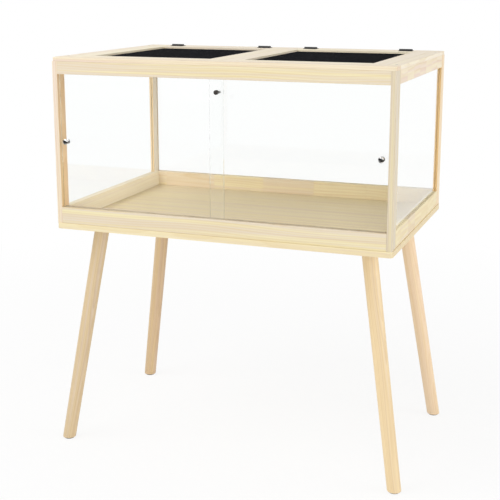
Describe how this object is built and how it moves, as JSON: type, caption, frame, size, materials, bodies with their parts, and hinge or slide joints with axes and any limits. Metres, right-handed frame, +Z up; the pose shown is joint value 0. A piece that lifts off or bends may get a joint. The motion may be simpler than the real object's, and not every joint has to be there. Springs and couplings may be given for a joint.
{
  "type": "reptile tank with legs",
  "caption": "Glazed wooden reptile tank on splayed legs, with sliding glass front doors, a lock pin and hinged mesh lids on top.",
  "frame": {"origin": "on the floor, under the middle of the tank, where the four glides stand", "axes": "+X along the tank, to its right as seen from the doors; +Y from the doors to the back; +Z up"},
  "size_m": [0.9654, 0.608, 1.0705],
  "materials": {
    "timber": "pale softwood, planed, clear matt finish",
    "lid_timber": "pale softwood, planed, clear matt finish",
    "base_timber": "pale softwood board, clear matt finish",
    "leg_timber": "pale turned softwood, clear satin finish",
    "liner_plastic": "thin clear waterproof sheet",
    "tank_glass": "clear float glass",
    "door_glass": "clear float glass with polished edges",
    "track_plastic": "extruded plastic",
    "knob_chrome": "polished",
    "screw_steel": "zinc plated",
    "plate_steel": "zinc plated sheet",
    "glide_plastic": "moulded",
    "mesh_metal": "woven wire, black coating",
    "hinge_metal": "black satin coating",
    "lock_metal": "dark satin",
    "grommet_plastic": "moulded",
    "bumper_rubber": "soft grey disc"
  },
  "bodies": {
    "tank": {"base_board": "base_timber", "floor_liner": "liner_plastic", "post_front_left": "timber", "post_front_right": "timber", "post_rear_left": "timber", "post_rear_right": "timber", "lower_rail_front": "timber", "lower_rail_rear": "timber", "lower_rail_left": "timber", "lower_rail_right": "timber", "upper_rail_front": "timber", "upper_rail_rear": "timber", "upper_rail_left": "timber", "upper_rail_right": "timber", "cap_front": "timber", "cap_rear": "timber", "cap_left": "timber", "cap_right": "timber", "lid_battens": "timber", "centre_bearer": "timber", "glass_left": "tank_glass", "glass_right": "tank_glass", "glass_back": "tank_glass", "door_track_lower": "track_plastic", "door_track_upper": "track_plastic", "frame_screws": "screw_steel", "leg_front_left": "leg_timber", "leg_front_right": "leg_timber", "leg_rear_left": "leg_timber", "leg_rear_right": "leg_timber", "leg_plates": "plate_steel", "leg_bolts": "screw_steel", "leg_glides": "glide_plastic", "hinge_cap_leaves": "hinge_metal", "hinge_cap_screws": "hinge_metal"},
    "lid_left": {"lid_left_stile_inner": "lid_timber", "lid_left_stile_outer": "lid_timber", "lid_left_rail_front": "lid_timber", "lid_left_rail_rear": "lid_timber", "lid_left_mesh": "mesh_metal", "lid_left_beads": "lid_timber", "lid_left_hinge_leaves": "hinge_metal", "lid_left_hinge_screws": "hinge_metal"},
    "lid_right": {"lid_right_stile_inner": "lid_timber", "lid_right_stile_outer": "lid_timber", "lid_right_rail_front": "lid_timber", "lid_right_rail_rear": "lid_timber", "lid_right_mesh": "mesh_metal", "lid_right_beads": "lid_timber", "lid_right_hinge_leaves": "hinge_metal", "lid_right_hinge_screws": "hinge_metal"},
    "door_left": {"door_left_glass": "door_glass", "door_left_knob": "knob_chrome", "door_left_knob_screw": "screw_steel", "lock_grommet": "grommet_plastic"},
    "door_right": {"door_right_glass": "door_glass", "door_right_knob": "knob_chrome", "door_right_knob_screw": "screw_steel", "door_bumper": "bumper_rubber"},
    "lock_pin": {"lock_pin": "lock_metal"}
  },
  "joints": [
    {"name": "door_left_slide", "type": "slide", "parent": "tank", "child": "door_left", "axis": [1, 0, 0], "range_m": [0, 0.385]},
    {"name": "door_right_slide", "type": "slide", "parent": "tank", "child": "door_right", "axis": [1, 0, 0], "range_m": [-0.385, 0]},
    {"name": "lid_left_hinge", "type": "hinge", "parent": "tank", "child": "lid_left", "pos_m": [-0.20963, 0.26125, 1.0679], "axis": [-1, 0, 0], "range_deg": [0, 180]},
    {"name": "lid_right_hinge", "type": "hinge", "parent": "tank", "child": "lid_right", "pos_m": [0.20963, 0.26125, 1.0679], "axis": [-1, 0, 0], "range_deg": [0, 180]},
    {"name": "lock_pin_slide", "type": "slide", "parent": "door_left", "child": "lock_pin", "axis": [0, -1, 0], "range_m": [0, 0.02]}
  ]
}
